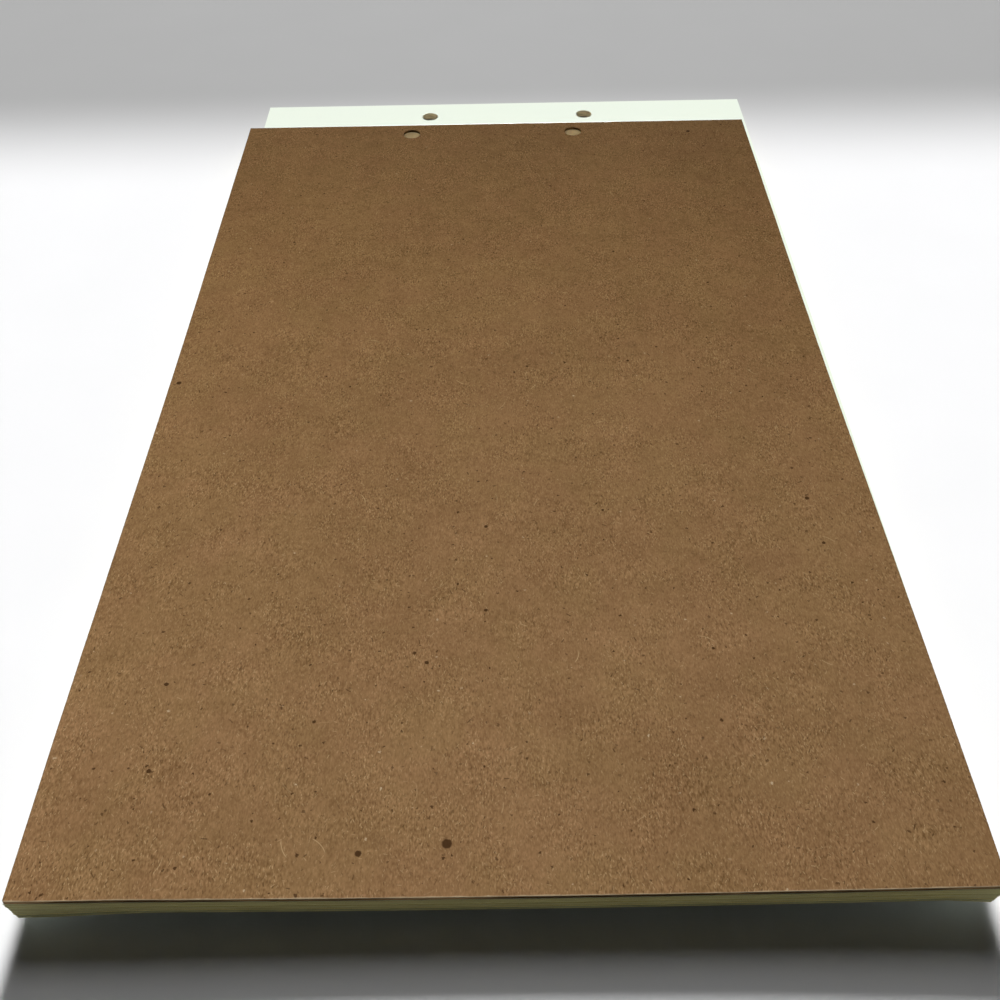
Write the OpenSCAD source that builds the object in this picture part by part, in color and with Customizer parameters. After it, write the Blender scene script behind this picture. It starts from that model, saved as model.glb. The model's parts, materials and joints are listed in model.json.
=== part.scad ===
// Legal-size columnar pad lying face down: a chipboard back over gummed sheets of ledger paper.
// The front sheets have come off the gum and stand out past the head of the pad.
// The origin is on the surface that the pad lies on, below the middle of the board.
// X runs across the pad, Y runs along it towards the gummed head, and Z is up.

/* [Sheets] */
// Width of a sheet and of the backing board
sheet_width = 215.9; // [120:0.1:300]
// Length of a sheet and of the backing board, from the foot to the head
sheet_length = 355.6; // [200:0.1:450]
// Thickness of one sheet of ledger paper
sheet_thickness = 0.15; // [0.08:0.01:0.4]

/* [Gummed sections] */
// Sections of gummed sheets that the pad opens into
section_count = 4; // [1:1:4]
// Sheets in each section
section_sheets = 8; // [1:1:9]
// Thickness of the gum along the head
gum_thickness = 0.3; // [0.1:0.05:1]

/* [Loose sheets] */
// Front sheets that have come off the gum
loose_sheets = 18; // [1:1:22]
// How far the loose sheets stand out past the head of the pad
loose_reach = 31.5; // [0:0.5:150]
// How far the loose sheets lie to the right of the pad
loose_shift = 3.6; // [-20:0.1:20]

/* [Backing board] */
// Thickness of the chipboard
board_thickness = 1; // [0.4:0.1:3]

/* [Binder holes] */
// Diameter of a punched hole
hole_diameter = 7.14; // [4:0.02:9]
// Distance between the centres of a pair of holes
hole_spacing = 69.85; // [40:0.05:100]
// From the head of the pad to the centres of its holes
pad_hole_inset = 8; // [5:0.1:30]
// How far the pad's pair of holes lies to the right of the middle
pad_hole_shift = -1.6; // [-8:0.1:8]
// From the head of a loose sheet to the centres of its holes
loose_hole_inset = 12; // [5:0.1:30]
// How far a loose sheet's pair of holes lies to the right of its middle
loose_hole_shift = 1.5; // [-8:0.1:8]

/* [Hidden] */
// How far a punch runs past both faces of what it cuts
punch_margin = 1;
// Facets of a round hole
hole_facets = 64;

gummed_sheets = section_count * section_sheets;
sheet_count = loose_sheets + gummed_sheets;
strip_count = section_count + 1;
section_height = section_sheets * sheet_thickness;
loose_height = loose_sheets * sheet_thickness;
board_level = sheet_count * sheet_thickness;

paper_colour = "honeydew";
chipboard_colour = "peru";
gum_colour = "ivory";

function two_digits(n) = n < 10 ? str("0", n) : str(n);
function sheet_name(n) = str("sheet_", two_digits(n));
function strip_name(k) = str("gum_strip_", k);

// Sheets are counted from the writing side, which faces down
function sheet_level(n) = (n - 1) * sheet_thickness;

// Strips are counted the same way, and the last one is on the edge of the board
function strip_level(k) = loose_height + (k - 1) * section_height;
function strip_height(k) = k == strip_count ? board_thickness : section_height;

// A leaf lies on Z = 0 with its middle at the origin, and has a pair of holes near its head
module punched_leaf(thickness, hole_inset, hole_shift) {
    difference() {
        translate([-sheet_width / 2, -sheet_length / 2, 0])
            cube([sheet_width, sheet_length, thickness]);
        for (side = [-1, 1])
            translate([
                hole_shift + side * hole_spacing / 2,
                sheet_length / 2 - hole_inset,
                -punch_margin
            ])
                cylinder(d = hole_diameter, h = thickness + 2 * punch_margin, $fn = hole_facets);
    }
}

module back_board() {
    color(chipboard_colour)
        translate([0, 0, board_level])
            punched_leaf(board_thickness, pad_hole_inset, pad_hole_shift);
}

module gummed_sheet(n) {
    color(paper_colour)
        translate([0, 0, sheet_level(n)])
            punched_leaf(sheet_thickness, pad_hole_inset, pad_hole_shift);
}

module loose_sheet(n) {
    color(paper_colour)
        translate([loose_shift, loose_reach, sheet_level(n)])
            punched_leaf(sheet_thickness, loose_hole_inset, loose_hole_shift);
}

// The gum covers the head edges of one section, or of the board
module gum_strip(k) {
    color(gum_colour)
        translate([-sheet_width / 2, sheet_length / 2, strip_level(k)])
            cube([sheet_width, gum_thickness, strip_height(k)]);
}

back_board();
for (k = [1:strip_count])
    gum_strip(k);
for (n = [1:loose_sheets])
    loose_sheet(n);
for (n = [loose_sheets + 1:sheet_count])
    gummed_sheet(n);
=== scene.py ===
"""Looks of a legal-size columnar pad that lies face down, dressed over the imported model.

The chipboard back is on top and the gummed head is away from the camera. The front sheets have come off the
gum and stand out past the head. Lengths are in millimetres, and turn into metres where a mesh or the camera
is made.
"""
import json
import math
import random

import bpy
from mathutils import Matrix, Vector, noise


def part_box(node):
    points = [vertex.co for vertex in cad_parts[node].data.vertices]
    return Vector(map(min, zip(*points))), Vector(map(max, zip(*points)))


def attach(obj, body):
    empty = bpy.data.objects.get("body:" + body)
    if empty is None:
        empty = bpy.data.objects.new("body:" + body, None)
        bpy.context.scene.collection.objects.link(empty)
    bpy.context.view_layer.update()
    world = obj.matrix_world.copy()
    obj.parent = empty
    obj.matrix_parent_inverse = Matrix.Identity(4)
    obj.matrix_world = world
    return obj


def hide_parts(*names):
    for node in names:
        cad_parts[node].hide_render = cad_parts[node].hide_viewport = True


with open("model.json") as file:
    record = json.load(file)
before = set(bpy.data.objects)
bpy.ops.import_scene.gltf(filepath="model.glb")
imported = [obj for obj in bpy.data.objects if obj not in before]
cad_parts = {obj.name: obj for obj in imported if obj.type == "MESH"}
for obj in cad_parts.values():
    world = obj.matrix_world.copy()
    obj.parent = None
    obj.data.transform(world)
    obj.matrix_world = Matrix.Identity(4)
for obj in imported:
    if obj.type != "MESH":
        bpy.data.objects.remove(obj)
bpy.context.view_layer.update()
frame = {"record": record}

MM = 1000


def node_box(node):
    """Lowest and highest corner of a node, in millimetres."""
    low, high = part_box(node)
    return low * MM, high * MM


def punched(name):
    """Centres of the holes whose mounts start with a name."""
    mounts = [mount for mount in frame["record"]["mounts"] if mount["name"].startswith(name)]
    return [tuple(MM * length for length in mount["pos_m"][:2]) for mount in mounts]


# Sizes of the pad
BODIES = frame["record"]["behaviour"]["bodies"]
BORES = [mount for mount in frame["record"]["mounts"] if mount["kind"] == "bore"]
HOLE_RADIUS = BORES[0]["dims"]["r_mm"]
PAD_HOLES = punched("pad_hole")
LOOSE_HOLES = punched("loose_hole")
BOARD_LOW, BOARD_HIGH = node_box("back_board")
FOOT = BOARD_LOW.y
HEAD = BOARD_HIGH.y
LENGTH = HEAD - FOOT
HALF_WIDTH = BOARD_HIGH.x
HALF_LENGTH = LENGTH / 2
GUMMED_HEIGHT = BOARD_LOW.z - node_box("gum_strip_1")[0].z

# Half the side of the square that is meshed round a hole, and the facets of the hole
HOLE_CELL = 5
HOLE_FACETS = 32

# The pad curls up a little past its middle, more at the corners of its foot than between them.
# The left corner is bent down again by a trace.
# At the corners the sheets droop away from the board, more the further down they lie, and are worn in.
# A start is a share of the pad's length, from its head, or of its half width, from its middle.
CURL_START = 0.38
CURL_MIDDLE = 2.0
CURL_CORNER = 1.5
DIP_START = 0.7
CORNER_DIP = 0.6
LEFT_DROOP_START = 0.68
LEFT_DROOP = 1.8
RIGHT_DROOP_START = 0.9
RIGHT_DROOP = 1.6
WEAR_LENGTH_START = 0.93
WEAR_SIDE_START = 0.88
LEFT_WEAR = 1.3
RIGHT_WEAR = 1.9

# Paper: the step of its mesh, how full the stack is, and how far the sheets lie out of true
SHEET_STEP = 12
SHEET_FULLNESS = 0.92
TRIM_WANDER = 0.1
SKEW_WANDER = 0.15
LOOSE_WANDER = 0.25
LOOSE_TURN = math.radians(0.06)

# Chipboard: the step of its mesh, its rounded corners, wavering edges, swelling face and worn arrises
BOARD_STEP = 3
BOARD_CORNER = 0.6
BOARD_CORNER_PARTS = 4
BOARD_EDGE_WANDER = 0.15
BOARD_EDGE_POWER = 9
BOARD_SIDE_WAVE = 21
BOARD_FOOT_WAVE = 24
BOARD_SWELL = 0.04
BOARD_SWELL_SIZE = 9
BOARD_BEVEL = 0.14
BOARD_BEVEL_PARTS = 2
BOARD_BEVEL_ANGLE = math.radians(50)

# Gum: the step and rows of its mesh, the depth, length and height of its ripples, and its gap
GUM_STEP = 2.5
GUM_ROWS = 3
GUM_RIPPLE = 0.12
GUM_RIPPLE_LENGTH = 14
GUM_RIPPLE_HEIGHT = 1.3
GUM_GAP = 0.01

# Places in the noise, so that no two surfaces waver alike
SIDE_SEED = 4
FOOT_SEED = 9
SWELL_SEED = 2
GUM_SEED = 6

# Edges that turn by more than this are drawn sharp
SHARP_ANGLE = math.radians(35)


def stations(low, high, whole, step):
    """Places from low to high, about a step apart, with none inside a stretch that is kept whole."""
    stops = [low, *(stop for stretch in whole for stop in stretch), high]
    places = [low]
    for start, end in zip(stops, stops[1:]):
        parts = 1 if (start, end) in whole else max(1, round((end - start) / step))
        places += [start + (end - start) * part / parts for part in range(1, parts)] + [end]
    return places


def rounded(x, y, start, radius, parts):
    """Points of a rounded corner, as an arc of a quarter turn from its start angle in degrees."""
    middle = math.radians(start + 45)
    centre_x = x - radius * math.sqrt(2) * math.cos(middle)
    centre_y = y - radius * math.sqrt(2) * math.sin(middle)
    angles = [math.radians(start + 90 * part / parts) for part in range(parts + 1)]
    return [(centre_x + radius * math.cos(angle), centre_y + radius * math.sin(angle)) for angle in angles]


def hole_ring(points, corners, middle):
    """Four faces between the corners of a square cell and the round hole in it."""
    first = len(points)
    for facet in range(HOLE_FACETS):
        angle = math.radians(225) + 2 * math.pi * facet / HOLE_FACETS
        points.append((middle[0] + HOLE_RADIUS * math.cos(angle), middle[1] + HOLE_RADIUS * math.sin(angle)))
    quarter = HOLE_FACETS // 4
    faces = []
    for side in range(4):
        arc = [first + (side * quarter + facet) % HOLE_FACETS for facet in range(quarter + 1)]
        faces.append([corners[side], corners[(side + 1) % 4], *reversed(arc)])
    return faces


def leaf_plan(low, high, holes, step, corner=None):
    """Points and faces of a punched leaf, seen from above. A corner is its radius and its number of parts."""
    across = stations(low.x, high.x, [(x - HOLE_CELL, x + HOLE_CELL) for x, _ in holes], step)
    hole_line = holes[0][1]
    along = stations(low.y, high.y, [(hole_line - HOLE_CELL, hole_line + HOLE_CELL)], step)
    right = len(across) - 1
    top = len(along) - 1
    corner_starts = {(0, 0): 180, (right, 0): 270, (right, top): 0, (0, top): 90} if corner else {}
    points = []
    at = {}
    for column, x in enumerate(across):
        for row, y in enumerate(along):
            start = corner_starts.get((column, row))
            spots = [(x, y)] if start is None else rounded(x, y, start, *corner)
            at[column, row] = list(range(len(points), len(points) + len(spots)))
            points += spots
    cells = {(across.index(x - HOLE_CELL), along.index(y - HOLE_CELL)): (x, y) for x, y in holes}
    faces = []
    for column in range(right):
        for row in range(top):
            ring = at[column, row] + at[column + 1, row] + at[column + 1, row + 1] + at[column, row + 1]
            hole = cells.get((column, row))
            faces += hole_ring(points, ring, hole) if hole else [ring]
    return points, faces


def slab(points, faces, low, high):
    """Points and faces of the solid between two heights, which are functions of a point of the plan."""
    count = len(points)
    solid = [(x, y, low(x, y)) for x, y in points] + [(x, y, high(x, y)) for x, y in points]
    edges = {edge for face in faces for edge in zip(face, face[1:] + face[:1])}
    walls = [[a, b, b + count, a + count] for a, b in sorted(edges) if (b, a) not in edges]
    lower = [face[::-1] for face in faces]
    upper = [[point + count for point in face] for face in faces]
    return solid, lower + upper + walls


def smooth(value, low, high):
    """Rises smoothly from 0 at low to 1 at high."""
    run = min(max((value - low) / (high - low), 0), 1)
    return run * run * (3 - 2 * run)


def curl(x, y, depth=0):
    """How far the gummed pad lifts at a place. Depth is 0 at the board and 1 at the lowest gummed sheet."""
    rise = smooth((HEAD - y) / LENGTH, CURL_START, 1)
    side = x / HALF_WIDTH
    left = LEFT_DROOP * smooth(-side, LEFT_DROOP_START, 1)
    right = RIGHT_DROOP * smooth(side, RIGHT_DROOP_START, 1)
    dip = CORNER_DIP * smooth(-side, DIP_START, 1)
    return rise * (CURL_MIDDLE + CURL_CORNER * side * side - depth * (left + right) - dip)


def corner_wear(x, y, depth):
    """How far to the right a gummed sheet's side has been pushed near its foot."""
    side = x / HALF_WIDTH
    near_foot = smooth((HEAD - y) / LENGTH, WEAR_LENGTH_START, 1)
    left = LEFT_WEAR * smooth(-side, WEAR_SIDE_START, 1)
    right = RIGHT_WEAR * smooth(side, WEAR_SIDE_START, 1)
    return depth * near_foot * (left - right)


def add_piece(name, points, faces, finish, origin=Vector((0, 0, 0))):
    """A piece of the pad or of the stage, whose points are measured from its own origin."""
    mesh = bpy.data.meshes.new(name)
    mesh.from_pydata([Vector(point) / MM for point in points], [], faces)
    mesh.materials.append(finish)
    mesh.polygons.foreach_set("use_smooth", [True] * len(mesh.polygons))
    mesh.set_sharp_from_angle(angle=SHARP_ANGLE)
    piece = bpy.data.objects.new(name, mesh)
    piece.location = origin / MM
    bpy.context.scene.collection.objects.link(piece)
    return piece


def stand_for(piece, node, body):
    """The piece takes the place of a node, on the node's body."""
    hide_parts(node)
    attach(piece, body)


class Wire:
    """One output of a node in a finish. An expression on wires adds its Math nodes."""

    def __init__(self, finish, socket):
        self.finish = finish
        self.socket = socket

    def output(self, name):
        return Wire(self.finish, self.socket.node.outputs[name])

    def math(self, operation, *values):
        return self.finish.node("Math", {"operation": operation}, dict(enumerate(values)))

    def __add__(self, other):
        return self.math("ADD", self, other)

    __radd__ = __add__

    def __sub__(self, other):
        return self.math("SUBTRACT", self, other)

    def __rsub__(self, other):
        return self.math("SUBTRACT", other, self)

    def __mul__(self, other):
        return self.math("MULTIPLY", self, other)

    __rmul__ = __mul__

    def __truediv__(self, other):
        return self.math("DIVIDE", self, other)

    def __mod__(self, other):
        return self.math("FLOORED_MODULO", self, other)

    def __pow__(self, other):
        return self.math("POWER", self, other)

    def __abs__(self):
        return self.math("ABSOLUTE", self)

    def __gt__(self, other):
        return self.math("GREATER_THAN", self, other)

    def __lt__(self, other):
        return self.math("LESS_THAN", self, other)

    def __or__(self, other):
        """The greater of two values."""
        return self.math("MAXIMUM", self, other)

    def __and__(self, other):
        """The lesser of two values."""
        return self.math("MINIMUM", self, other)

    def ease(self, low, high):
        """Rises smoothly from 0 at low to 1 at high."""
        sockets = {"Value": self, "From Min": low, "From Max": high}
        return self.finish.node("MapRange", {"interpolation_type": "SMOOTHSTEP"}, sockets)


class Finish:
    """A material in the making: a Principled shader and the nodes that feed it."""

    def __init__(self, name, specular, roughness):
        self.material = bpy.data.materials.new(name)
        self.material.use_nodes = True
        self.tree = self.material.node_tree
        self.shader = self.tree.nodes["Principled BSDF"]
        self.shader.inputs["Specular IOR Level"].default_value = specular
        self.shader.inputs["Roughness"].default_value = roughness
        coordinates = self.node("TexCoord", {}, {}, "Object")
        self.place = self.scaled(coordinates, MM)
        self.facing = coordinates.output("Normal")

    def feed(self, socket, value):
        if isinstance(value, Wire):
            self.tree.links.new(value.socket, socket)
        elif socket.type == "RGBA":
            socket.default_value = (*value, 1)
        else:
            socket.default_value = value

    def node(self, kind, settings, sockets, output=0):
        made = self.tree.nodes.new("ShaderNode" + kind)
        for name, value in settings.items():
            setattr(made, name, value)
        for name, value in sockets.items():
            self.feed(made.inputs[name], value)
        return Wire(self, made.outputs[output])

    def mix(self, share, first, second):
        return self.node("Mix", {"data_type": "RGBA"}, {0: share, 6: first, 7: second}, 2)

    def scaled(self, vector, factor):
        return self.node("VectorMath", {"operation": "SCALE"}, {0: vector, "Scale": factor})

    def vector(self, operation, first, second):
        return self.node("VectorMath", {"operation": operation}, {0: first, 1: second})

    def moved(self, place, x, y):
        """A place moved in plan, so that two layers of one kind don't fall together."""
        return self.vector("ADD", place, (x, y, 0))

    def split(self, vector):
        x = self.node("SeparateXYZ", {}, {0: vector}, "X")
        return x, x.output("Y"), x.output("Z")

    def cloud(self, size, detail=2.0, stretch=(1, 1, 1), shift=(0, 0, 0)):
        """Soft noise from 0 to 1 whose lumps are about a size across, longer along a stretched axis."""
        squeeze = tuple(1 / length for length in stretch)
        place = self.vector("MULTIPLY", self.vector("ADD", self.place, shift), squeeze)
        return self.node("TexNoise", {}, {"Vector": place, "Scale": 1 / size, "Detail": detail})

    def cells(self, place, size):
        """Voronoi cells in plan, about a size across."""
        settings = {"voronoi_dimensions": "2D", "feature": "F1"}
        return self.node("TexVoronoi", settings, {"Vector": place, "Scale": 1 / size}, "Position")

    def fibres(self, place, cell, length, width, spread, bend=0):
        """Fibres, one to a cell, turned up to half the spread either way from the pad's length, and bent."""
        root = self.cells(place, cell)
        turn, reach, strength = self.split(root.output("Color"))
        local = self.vector("SUBTRACT", place, root)
        angle = (turn - 0.5) * spread
        turned = self.node("VectorRotate", {"rotation_type": "Z_AXIS"}, {"Vector": local, "Angle": angle})
        across, along, _ = self.split(turned)
        half = length * (0.3 + 0.7 * reach) / 2
        thread = 1 - abs(across + bend * along * along).ease(0.2 * width, 0.6 * width)
        body = 1 - (abs(along) / half).ease(0.6, 1)
        return thread * body * strength ** 2

    def specks(self, place, cell, small, large):
        """Round specks, at most one to a cell, most of them near the small radius."""
        root = self.cells(place, cell)
        size, chance, strength = self.split(root.output("Color"))
        reach = small + (large - small) * size ** 3
        inside = 1 - (cell * root.output("Distance") / reach).ease(0.6, 1.1)
        return inside * chance.ease(0.3, 0.5) * (0.55 + 0.45 * strength)

    def spot(self, place, x, y, radius):
        """One round spot at a given place."""
        gap = self.node("VectorMath", {"operation": "DISTANCE"}, {0: place, 1: (x, y, 0)}, "Value")
        return 1 - gap.ease(0.75 * radius, 1.1 * radius)

    def bump(self, height, strength, distance):
        sockets = {"Strength": strength, "Distance": distance / MM, "Height": height}
        self.feed(self.shader.inputs["Normal"], self.node("Bump", {}, sockets))

    def colour(self, wire):
        self.feed(self.shader.inputs["Base Color"], wire)

    def roughness(self, wire):
        self.feed(self.shader.inputs["Roughness"], wire)


# Dark spots of the board that stand out, each with its place and radius
BOARD_SPOTS = [
    (-12.6, -165.2, 1.25),
    (-32.2, -167.3, 0.8),
    (-105, 1, 0.9),
    (-4, -67, 0.6),
    (89, -58, 0.7),
    (90, -76, 0.55),
    (-4, -98, 0.55),
    (83, 168, 0.9),
    (-83, -146, 0.6),
    (-84, -121, 0.6),
    (-19, -115, 0.6),
    (43, 9, 0.5),
]


def chipboard_finish():
    """Raw brown chipboard: streaky pulp with pale and dark fibres, specks, painted shade, and a worn rim at
    the foot with a painted highlight.
    """
    dark_pulp = (0.116, 0.0595, 0.022)
    pale_pulp = (0.318, 0.1875, 0.088)
    olive_tint = (0.99, 1.006, 0.985)
    red_tint = (1.01, 0.994, 1.01)
    pale_fibre = (0.42, 0.29, 0.15)
    dark_fibre = (0.070, 0.036, 0.014)
    speck_colour = (0.045, 0.020, 0.007)
    worn_colour = (0.50, 0.39, 0.25)
    cut_and_shade_colour = (0.24, 0.155, 0.075)
    # Painted shade: the colour that the head end darkens towards
    head_shade_tint = (0.82, 0.78, 0.66)

    # Weights of the pulp's layers, from coarse to fine
    patch_weight = 0.3
    mottle_weight = 0.35
    curd_weight = 0.5
    streak_weight = 1.15

    # Strengths of what lies in and on the pulp
    fibre_strength = 0.6
    strand_strength = 0.8
    hair_strength = 0.75
    smudge_strength = 0.2
    faint_strength = 0.45
    bright_strength = 0.7
    speck_strength = 0.92
    foot_wear_and_highlight = 0.9
    side_darkening = 0.3

    # Painted shade: darkening towards the right side and the head
    middle_shade = 1.03
    side_fall = 0.09
    head_fall = 0.19
    head_fall_start = 50
    head_fall_end = 190

    # How many ripples to a millimetre make the specks ragged, and how much rounder the spots are
    ripples = 1.6
    roundness = 0.6

    finish = Finish("chipboard", specular=0.01, roughness=0.9)
    x, y, _ = finish.split(finish.place)
    ripple = finish.node("TexNoise", {}, {"Vector": finish.place, "Scale": ripples, "Detail": 1.0}, "Color")
    ragged = finish.vector("ADD", finish.place, finish.vector("SUBTRACT", ripple, (0.5, 0.5, 0.5)))
    flat = finish.vector("MULTIPLY", ragged, (1, 1, 0))
    plain_flat = finish.vector("MULTIPLY", finish.place, (1, 1, 0))

    # Pulp
    patches = finish.cloud(42, detail=2, shift=(13, 0, 0))
    mottle = finish.cloud(8, detail=3, shift=(0, 31, 0))
    curd = finish.cloud(1.5, detail=3, stretch=(1, 1.4, 1))
    streak = finish.cloud(0.42, detail=1, stretch=(1, 2.4, 1))
    busy = 0.6 + 0.7 * finish.cloud(11, detail=2, shift=(0, 0, 20)).ease(0.35, 0.65)
    share = 0.5 + patch_weight * (patches - 0.5) + mottle_weight * (mottle - 0.5) + curd_weight * (curd - 0.5)
    share = share + streak_weight * busy * (streak - 0.5)
    hue = finish.cloud(17, detail=3, shift=(0, 0, 50)).ease(0.35, 0.65)
    hue_tint = finish.mix(hue, olive_tint, red_tint)
    colour = finish.vector("MULTIPLY", finish.mix(share, dark_pulp, pale_pulp), hue_tint)

    # Fibres, strands and hairs
    mostly_along = math.radians(70)
    any_way = math.radians(360)
    place = finish.place
    pale = finish.fibres(place, cell=1.0, length=1.2, width=0.24, spread=mostly_along)
    dark = finish.fibres(finish.moved(place, 3, 17), cell=1.3, length=1.3, width=0.26, spread=mostly_along)
    stray = finish.fibres(finish.moved(place, 11, 5), cell=3.6, length=1.5, width=0.24, spread=any_way)
    strands = finish.fibres(
        finish.moved(place, 29, 13), cell=19, length=5.5, width=0.26, spread=any_way, bend=0.08
    )
    hairs = finish.fibres(
        finish.moved(place, 5, 27), cell=8, length=1.9, width=0.4, spread=any_way, bend=0.1
    )
    colour = finish.mix(fibre_strength * busy * pale, colour, pale_fibre)
    colour = finish.mix(fibre_strength * busy * dark, colour, dark_fibre)
    colour = finish.mix(fibre_strength * stray, colour, pale_fibre)
    colour = finish.mix(strand_strength * strands, colour, pale_fibre)
    colour = finish.mix(hair_strength * hairs, colour, speck_colour)

    # Smudges, specks and spots
    smudges = finish.specks(finish.moved(flat, 23, 9), cell=34, small=0.8, large=2.4)
    faint = finish.specks(finish.moved(flat, 7, 3), cell=4.4, small=0.26, large=0.5)
    bright = finish.specks(finish.moved(flat, 2, 19), cell=13, small=0.18, large=0.4)
    small_specks = finish.specks(flat, cell=6, small=0.24, large=0.42)
    large_specks = finish.specks(flat, cell=11, small=0.3, large=0.55)
    specks = small_specks | large_specks
    rounder = finish.mix(roundness, flat, plain_flat)
    for spot_x, spot_y, radius in BOARD_SPOTS:
        specks = specks | finish.spot(rounder, spot_x, spot_y, radius)
    colour = finish.mix(smudge_strength * smudges, colour, dark_fibre)
    colour = finish.mix(faint_strength * faint, colour, dark_fibre)
    colour = finish.mix(bright_strength * bright, colour, worn_colour)
    colour = finish.mix(speck_strength * specks, colour, speck_colour)

    # The foot rim, worn and with a painted highlight, a darkening along the sides, and the cut faces with
    # painted shade
    rim_width = 0.2 + 0.9 * finish.cloud(3.5, detail=3, shift=(5, 5, 5))
    foot_rim = 1 - ((y - FOOT) / rim_width).ease(0.1, 0.8)
    side_rim = 1 - ((HALF_WIDTH - abs(x)) / rim_width).ease(0.1, 0.8)
    # Darker along the sides
    colour = finish.mix(side_darkening * side_rim, colour, dark_fibre)
    # Painted highlight: the pale foot rim is partly wear and partly light caught on the arris
    colour = finish.mix(foot_wear_and_highlight * foot_rim, colour, worn_colour)
    level = abs(finish.split(finish.facing)[2])
    layers = finish.cloud(0.5, detail=3, stretch=(6, 6, 0.4))
    # Painted shade: the cut faces' own brown is darkened in patches to stand in for their shade
    cut_shade_patches = finish.cloud(24, detail=3, shift=(40, 0, 0)).ease(0.35, 0.6)
    cut = finish.scaled(cut_and_shade_colour, (0.6 + 0.8 * layers) * (0.3 + 1.1 * cut_shade_patches))
    colour = finish.mix(1 - level.ease(0.2, 0.6), colour, cut)

    # Painted shade: the head end and the right side are made darker than the rest
    painted_head_shade = finish.mix(y.ease(FOOT, HEAD), (1, 1, 1), head_shade_tint)
    side_shade = middle_shade - side_fall * x / HALF_WIDTH
    head_shade = 1 - head_fall * y.ease(head_fall_start, head_fall_end)
    painted_shade = finish.scaled(painted_head_shade, side_shade * head_shade)
    finish.colour(finish.vector("MULTIPLY", colour, painted_shade))
    finish.roughness(0.95 - 0.12 * curd)
    finish.bump(0.6 * streak + 0.4 * curd + 0.5 * pale - 0.4 * dark, strength=0.18, distance=0.1)
    return finish.material


# Ruling of a sheet, from its head and from the writer's left
BLANK_HEAD = 42
HEADER_DEPTH = 12
ROW_PITCH = 6.35
ROW_COUNT = 44
ROW_GROUP = 5
COLUMN_STARTS = [14, 24, 84, 112, 140, 168, 196, 206]
MONEY_START = 84
MONEY_END = 196
MONEY_UNIT = 3.5
DOUBLE_RULE = 0.9

# Widths of the ruled lines, and how far the ruling runs on past its last rows and columns
ROW_LINE = 0.16
UNIT_LINE = 0.12
HEAVY_LINE = 0.3
HEADER_LINE = 0.35
ROW_MARGIN = 0.5
COLUMN_MARGIN = 0.2


def ruled_line(gap, width):
    """A printed line, from the distance to its middle."""
    return 1 - gap.ease(0.3 * width, 0.7 * width)


def between(wire, low, high):
    """Whether a place lies between two others."""
    return (wire > low) * (wire < high)


def repeat_gap(wire, pitch):
    """Distance to the nearest of a row of lines that starts at zero."""
    return abs((wire / pitch + 0.5) % 1 - 0.5) * pitch


def ruling(finish):
    """Masks of the fine lines and of the heavy lines of a sheet."""
    x, y, _ = finish.split(finish.place)
    down = HALF_LENGTH - y
    over = HALF_WIDTH - x
    first_row = BLANK_HEAD + HEADER_DEPTH
    last_row = first_row + ROW_COUNT * ROW_PITCH
    last_column = COLUMN_STARTS[-1] + DOUBLE_RULE
    in_rows = between(down, first_row - ROW_MARGIN, last_row + ROW_MARGIN)
    in_table = between(over, COLUMN_STARTS[0] - COLUMN_MARGIN, last_column + COLUMN_MARGIN)
    in_money = between(over, MONEY_START, MONEY_END)
    rows = ruled_line(repeat_gap(down - first_row, ROW_PITCH), ROW_LINE)
    units = ruled_line(repeat_gap(over - MONEY_START, MONEY_UNIT), UNIT_LINE)
    fine = in_rows * (in_table * rows | in_money * units)
    heavy = in_rows * in_table * ruled_line(repeat_gap(down - first_row, ROW_GROUP * ROW_PITCH), HEAVY_LINE)
    for start in (BLANK_HEAD, BLANK_HEAD + DOUBLE_RULE, first_row):
        heavy = heavy | in_table * ruled_line(abs(down - start), HEADER_LINE)
    columns = ruled_line(abs(over - COLUMN_STARTS[0]), HEAVY_LINE)
    for start in COLUMN_STARTS[1:]:
        columns = columns | ruled_line(abs(over - start), HEAVY_LINE)
        columns = columns | ruled_line(abs(over - start - DOUBLE_RULE), HEAVY_LINE)
    heavy = heavy | columns * between(down, BLANK_HEAD, last_row)
    return fine, heavy


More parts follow.
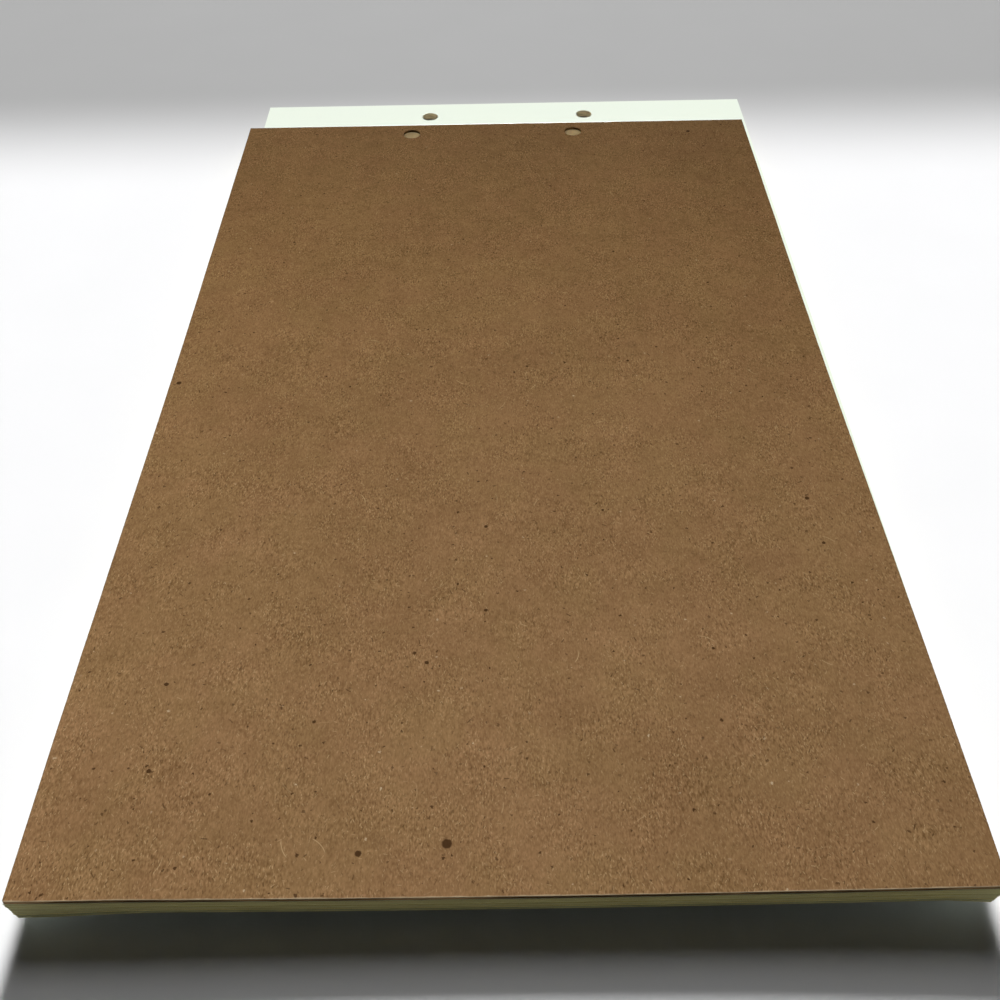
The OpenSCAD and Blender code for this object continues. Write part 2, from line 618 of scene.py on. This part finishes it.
def ledger_finish():
    """Pale green ledger paper, ruled on the writing side, which faces down."""
    pale_green = (0.825, 0.895, 0.765)
    cooler_green = (0.815, 0.89, 0.78)
    fine_ink = (0.30, 0.56, 0.40)
    heavy_ink = (0.36, 0.17, 0.12)
    # Painted shade: the cut edges are yellowed paper made darker to stand in for their shade
    aged_and_shaded_edge = (0.43, 0.35, 0.125)
    paler_edge = (0.60, 0.54, 0.23)
    head_edge = (0.42, 0.44, 0.36)
    # Painted light: the hole walls are clean cut paper, made paler still to stand in for light in the holes
    punched_and_lit_edge = (0.98, 0.86, 0.66)
    fine_strength = 0.7
    heavy_strength = 0.75
    show_through = 0.06

    # Distances from the sheet's outline between which an edge turns into the head's, or into a hole's
    head_turn = (3, 1)
    hole_turn = (2.5, 4)

    finish = Finish("ledger_paper", specular=0.2, roughness=0.85)
    x, y, _ = finish.split(finish.place)
    up = finish.split(finish.facing)[2]
    own = finish.node("ObjectInfo", {}, {}, "Random")
    fibre = finish.cloud(0.5, detail=3)
    blotch = finish.cloud(30, detail=2)

    # Faces, with the print showing through a little to the back
    colour = finish.mix(blotch, pale_green, cooler_green)
    fine, heavy = ruling(finish)
    print_share = show_through + (1 - show_through) * (0 - up).ease(0, 0.5)
    colour = finish.mix(fine_strength * fine * print_share, colour, fine_ink)
    colour = finish.mix(heavy_strength * heavy * print_share, colour, heavy_ink)
    colour = finish.scaled(colour, 0.97 + 0.03 * own + 0.04 * (fibre - 0.5))

    # Cut edges, yellowed with age and darkened with painted shade, greyer at the head, and paler inside the
    # holes with painted light
    streak = finish.cloud(14, detail=3, stretch=(1, 1, 0.02))
    edge = finish.scaled(finish.mix(streak, aged_and_shaded_edge, paler_edge), 0.75 + 0.5 * own)
    edge = finish.mix(y.ease(*(HALF_LENGTH - depth for depth in head_turn)), edge, head_edge)
    inside = (HALF_WIDTH - abs(x)) & (HALF_LENGTH - abs(y))
    edge = finish.mix(inside.ease(*hole_turn), edge, punched_and_lit_edge)
    colour = finish.mix(1 - abs(up).ease(0.3, 0.7), colour, edge)

    finish.colour(colour)
    finish.roughness(0.8 + 0.15 * fibre)
    finish.bump(fibre, strength=0.25, distance=0.05)
    return finish.material


def gum_finish():
    """Dried padding gum: a thin film, streaked by the brush, with the edges under it showing through."""
    milk = (0.36, 0.345, 0.28)
    sheet_below = (0.31, 0.305, 0.22)
    gap_below = (0.18, 0.17, 0.11)
    board_below = (0.13, 0.08, 0.04)
    board_blur = 0.15

    finish = Finish("padding_gum", specular=0.4, roughness=0.4)
    level = finish.split(finish.place)[2]
    layers = finish.cloud(0.5, detail=3, stretch=(80, 1, 0.5)).ease(0.35, 0.6)
    below = finish.mix(layers, gap_below, sheet_below)
    over_board = level.ease(BOARD_LOW.z - board_blur, BOARD_LOW.z + board_blur)
    below = finish.mix(over_board, below, board_below)
    streak = finish.cloud(2.2, detail=3, stretch=(9, 1, 0.5))
    blotch = finish.cloud(6, detail=2)
    finish.colour(finish.mix(0.2 + 0.4 * streak * blotch, below, milk))
    finish.roughness(0.3 + 0.3 * blotch)
    finish.bump(streak, strength=0.5, distance=0.1)
    return finish.material


def chipboard_back(finish):
    """The backing board, with wavering edges and worn arrises."""
    points, faces = leaf_plan(
        BOARD_LOW, BOARD_HIGH, PAD_HOLES, BOARD_STEP, (BOARD_CORNER, BOARD_CORNER_PARTS)
    )

    def waver(x, y):
        """The side edges and the foot edge waver, and the head edge stays against the gum."""
        side = (x / HALF_WIDTH) ** BOARD_EDGE_POWER
        foot = max(0, -y / HALF_LENGTH) ** BOARD_EDGE_POWER
        step_in = 0.5 + 0.5 * noise.noise((y / BOARD_SIDE_WAVE, math.copysign(SIDE_SEED, x), 0))
        step_up = 0.5 + 0.5 * noise.noise((x / BOARD_FOOT_WAVE, FOOT_SEED, 0))
        return x - BOARD_EDGE_WANDER * side * step_in, y + BOARD_EDGE_WANDER * foot * step_up

    def top(x, y):
        swell = noise.noise((x / BOARD_SWELL_SIZE, y / BOARD_SWELL_SIZE, SWELL_SEED)) - 0.5
        return BOARD_HIGH.z + curl(x, y) + BOARD_SWELL * swell

    def bottom(x, y):
        return BOARD_LOW.z + curl(x, y)

    points = [waver(x, y) for x, y in points]
    piece = add_piece("chipboard_back", *slab(points, faces, bottom, top), finish)
    bevel = piece.modifiers.new("worn_arris", "BEVEL")
    bevel.width = BOARD_BEVEL / MM
    bevel.segments = BOARD_BEVEL_PARTS
    bevel.limit_method = "ANGLE"
    bevel.angle_limit = BOARD_BEVEL_ANGLE
    stand_for(piece, "back_board", "board")


def ruled_sheet(node, body, finish):
    """A sheet of ledger paper, a little out of square with its neighbours."""
    low, high = node_box(node)
    loose = body == "loose_sheets"
    points, faces = leaf_plan(low, high, LOOSE_HOLES if loose else PAD_HOLES, SHEET_STEP)
    middle = (low + high) / 2
    middle.z = 0
    draw = random.Random(int(node[-2:]))
    slip_x = draw.uniform(-LOOSE_WANDER, LOOSE_WANDER)
    slip_y = draw.uniform(-LOOSE_WANDER, LOOSE_WANDER)
    turn = draw.uniform(-LOOSE_TURN, LOOSE_TURN)
    trim = draw.uniform(0, TRIM_WANDER)
    skew = draw.uniform(-SKEW_WANDER, SKEW_WANDER)
    depth = (BOARD_LOW.z - low.z) / GUMMED_HEIGHT

    def place(x, y):
        """A loose sheet has slipped and turned, and a gummed one is trimmed short or askew."""
        across = x - middle.x
        along = y - middle.y
        if loose:
            return across + slip_x - turn * along, along + slip_y + turn * across
        run = (high.y - y) / LENGTH
        return across + skew * run + corner_wear(x, y, depth), along + trim * run

    def bottom(x, y):
        return low.z + (0 if loose else curl(x + middle.x, y + middle.y, depth))

    def top(x, y):
        return bottom(x, y) + (high.z - low.z) * SHEET_FULLNESS

    points = [place(x, y) for x, y in points]
    piece = add_piece("ruled_" + node, *slab(points, faces, bottom, top), finish, middle)
    stand_for(piece, node, body)


def gum_film(node, body, finish):
    """A length of the gum along the head, brushed on in ripples, a hair's breadth from what it parts from."""
    low, high = node_box(node)
    across = stations(low.x, high.x, [], GUM_STEP)
    height = high.z - low.z - 2 * GUM_GAP
    rows = [low.z + GUM_GAP + height * row / GUM_ROWS for row in range(GUM_ROWS + 1)]
    points = [(x, z) for x in across for z in rows]
    column = len(rows)
    starts = [place * column + row for place in range(len(across) - 1) for row in range(GUM_ROWS)]
    faces = [[start, start + column, start + column + 1, start + 1] for start in starts]

    def inner(_, __):
        return low.y + GUM_GAP

    def outer(x, z):
        ripple = noise.noise((x / GUM_RIPPLE_LENGTH, z / GUM_RIPPLE_HEIGHT, GUM_SEED))
        return high.y - GUM_RIPPLE * (0.5 + 0.5 * ripple)

    solid, walls = slab(points, faces, inner, outer)
    solid = [(x, y, z) for x, z, y in solid]
    piece = add_piece("gum_film_" + node[-1], solid, [face[::-1] for face in walls], finish)
    stand_for(piece, node, body)


def dress_pad():
    """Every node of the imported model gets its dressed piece."""
    chipboard = chipboard_finish()
    paper = ledger_finish()
    gum = gum_finish()
    chipboard_back(chipboard)
    for body, nodes in BODIES.items():
        for node in nodes:
            if node.startswith("sheet_"):
                ruled_sheet(node, body, paper)
            elif node.startswith("gum_strip_"):
                gum_film(node, body, gum)


# Camera
EYE = Vector((1.9, -287.8, 241.5))
EYE_PITCH = math.radians(44.92)
EYE_YAW = math.radians(0.46)
EYE_ROLL = math.radians(-1.26)
LENS = 40.48
SENSOR = 36
NEAREST = 10


def add_camera():
    """The camera stands before the pad's foot and looks down along it."""
    data = bpy.data.cameras.new("camera")
    data.lens = LENS
    data.sensor_width = SENSOR
    data.clip_start = NEAREST / MM
    camera = bpy.data.objects.new("camera", data)
    yaw = Matrix.Rotation(EYE_YAW, 4, "Z")
    pitch = Matrix.Rotation(EYE_PITCH, 4, "X")
    roll = Matrix.Rotation(EYE_ROLL, 4, "Z")
    aim = yaw @ pitch @ roll
    camera.matrix_world = Matrix.Translation(EYE / MM) @ aim
    bpy.context.scene.collection.objects.link(camera)
    bpy.context.scene.camera = camera


# Each light's name, its bearing, elevation and spread in degrees, and its strength.
# A bearing is from the way that the pad's head points, and grows to the right.
LIGHTS = [
    ("light_behind", 0, 28, 11, 5.7),
    ("light_above", 0, 42, 30, 0.7),
    ("light_front", 180, 4, 20, 0.05),
    ("light_left", -90, 4, 20, 0.12),
    ("light_right", 90, 4, 20, 0.12),
]
ROOM_COLOUR = (1.0, 0.97, 0.82, 1)
ROOM_STRENGTH = 0.006


def add_soft_light(name, bearing, elevation, spread, strength):
    """A wide light, far away."""
    bearing = math.radians(bearing)
    elevation = math.radians(elevation)
    data = bpy.data.lights.new(name, "SUN")
    data.energy = strength
    data.angle = math.radians(spread)
    light = bpy.data.objects.new(name, data)
    flat = math.cos(elevation)
    source = Vector((math.sin(bearing) * flat, math.cos(bearing) * flat, math.sin(elevation)))
    light.rotation_euler = (-source).to_track_quat("-Z", "Y").to_euler()
    bpy.context.scene.collection.objects.link(light)


def light_scene():
    """Soft light, most of it from behind the pad's head, in a dim room."""
    scene = bpy.context.scene
    scene.view_settings.view_transform = "Standard"
    scene.world = bpy.data.worlds.new("dim_room")
    scene.world.use_nodes = True
    backdrop = scene.world.node_tree.nodes["Background"]
    backdrop.inputs["Color"].default_value = ROOM_COLOUR
    backdrop.inputs["Strength"].default_value = ROOM_STRENGTH
    for light in LIGHTS:
        add_soft_light(*light)


# Stage: the square floor, where it greys before the pad's foot and has painted shade past its head, and the
# walls round it
FLOOR_REACH = 6000
FLOOR_CORNERS = [(x * FLOOR_REACH, y * FLOOR_REACH, 0) for x, y in ((-1, -1), (1, -1), (1, 1), (-1, 1))]
FRONT_GREYING = (-300, -198)
BACK_SHADING = (140, 235)
SURROUND_HEIGHT = 4000
SURROUND_GLOW = (0.62, 0.62, 0.63, 1)
BLACK = (0, 0, 0, 1)


def floor_finish():
    """A pale sweep of paper that greys away before the pad's foot, with painted shade past its head."""
    white = (0.96, 0.96, 0.97)
    front_grey = (0.58, 0.58, 0.58)
    back_painted_shade = (0.41, 0.41, 0.41)
    finish = Finish("floor", specular=0.1, roughness=0.9)
    _, y, _ = finish.split(finish.place)
    grain = finish.cloud(40, detail=2)
    colour = finish.mix(y.ease(*FRONT_GREYING), front_grey, white)
    # Painted shade: the floor darkens past the pad's head
    colour = finish.mix(y.ease(*BACK_SHADING), colour, back_painted_shade)
    finish.colour(finish.scaled(colour, 0.98 + 0.04 * grain))
    return finish.material


def add_floor():
    add_piece("floor", FLOOR_CORNERS, [[0, 1, 2, 3]], floor_finish())


def add_surround():
    """Pale walls and a ceiling round the floor, which are seen and give no light or shadow."""
    finish = Finish("surround", specular=0, roughness=1)
    finish.shader.inputs["Base Color"].default_value = BLACK
    finish.shader.inputs["Emission Color"].default_value = SURROUND_GLOW
    finish.shader.inputs["Emission Strength"].default_value = 1
    top = [(x, y, SURROUND_HEIGHT) for x, y, _ in FLOOR_CORNERS]
    sides = [[side, (side + 1) % 4, (side + 1) % 4 + 4, side + 4] for side in range(4)]
    walls = add_piece("surround", FLOOR_CORNERS + top, [*sides, [4, 5, 6, 7]], finish.material)
    walls.visible_diffuse = False
    walls.visible_glossy = False
    walls.visible_shadow = False


add_camera()
light_scene()
add_floor()
add_surround()
dress_pad()
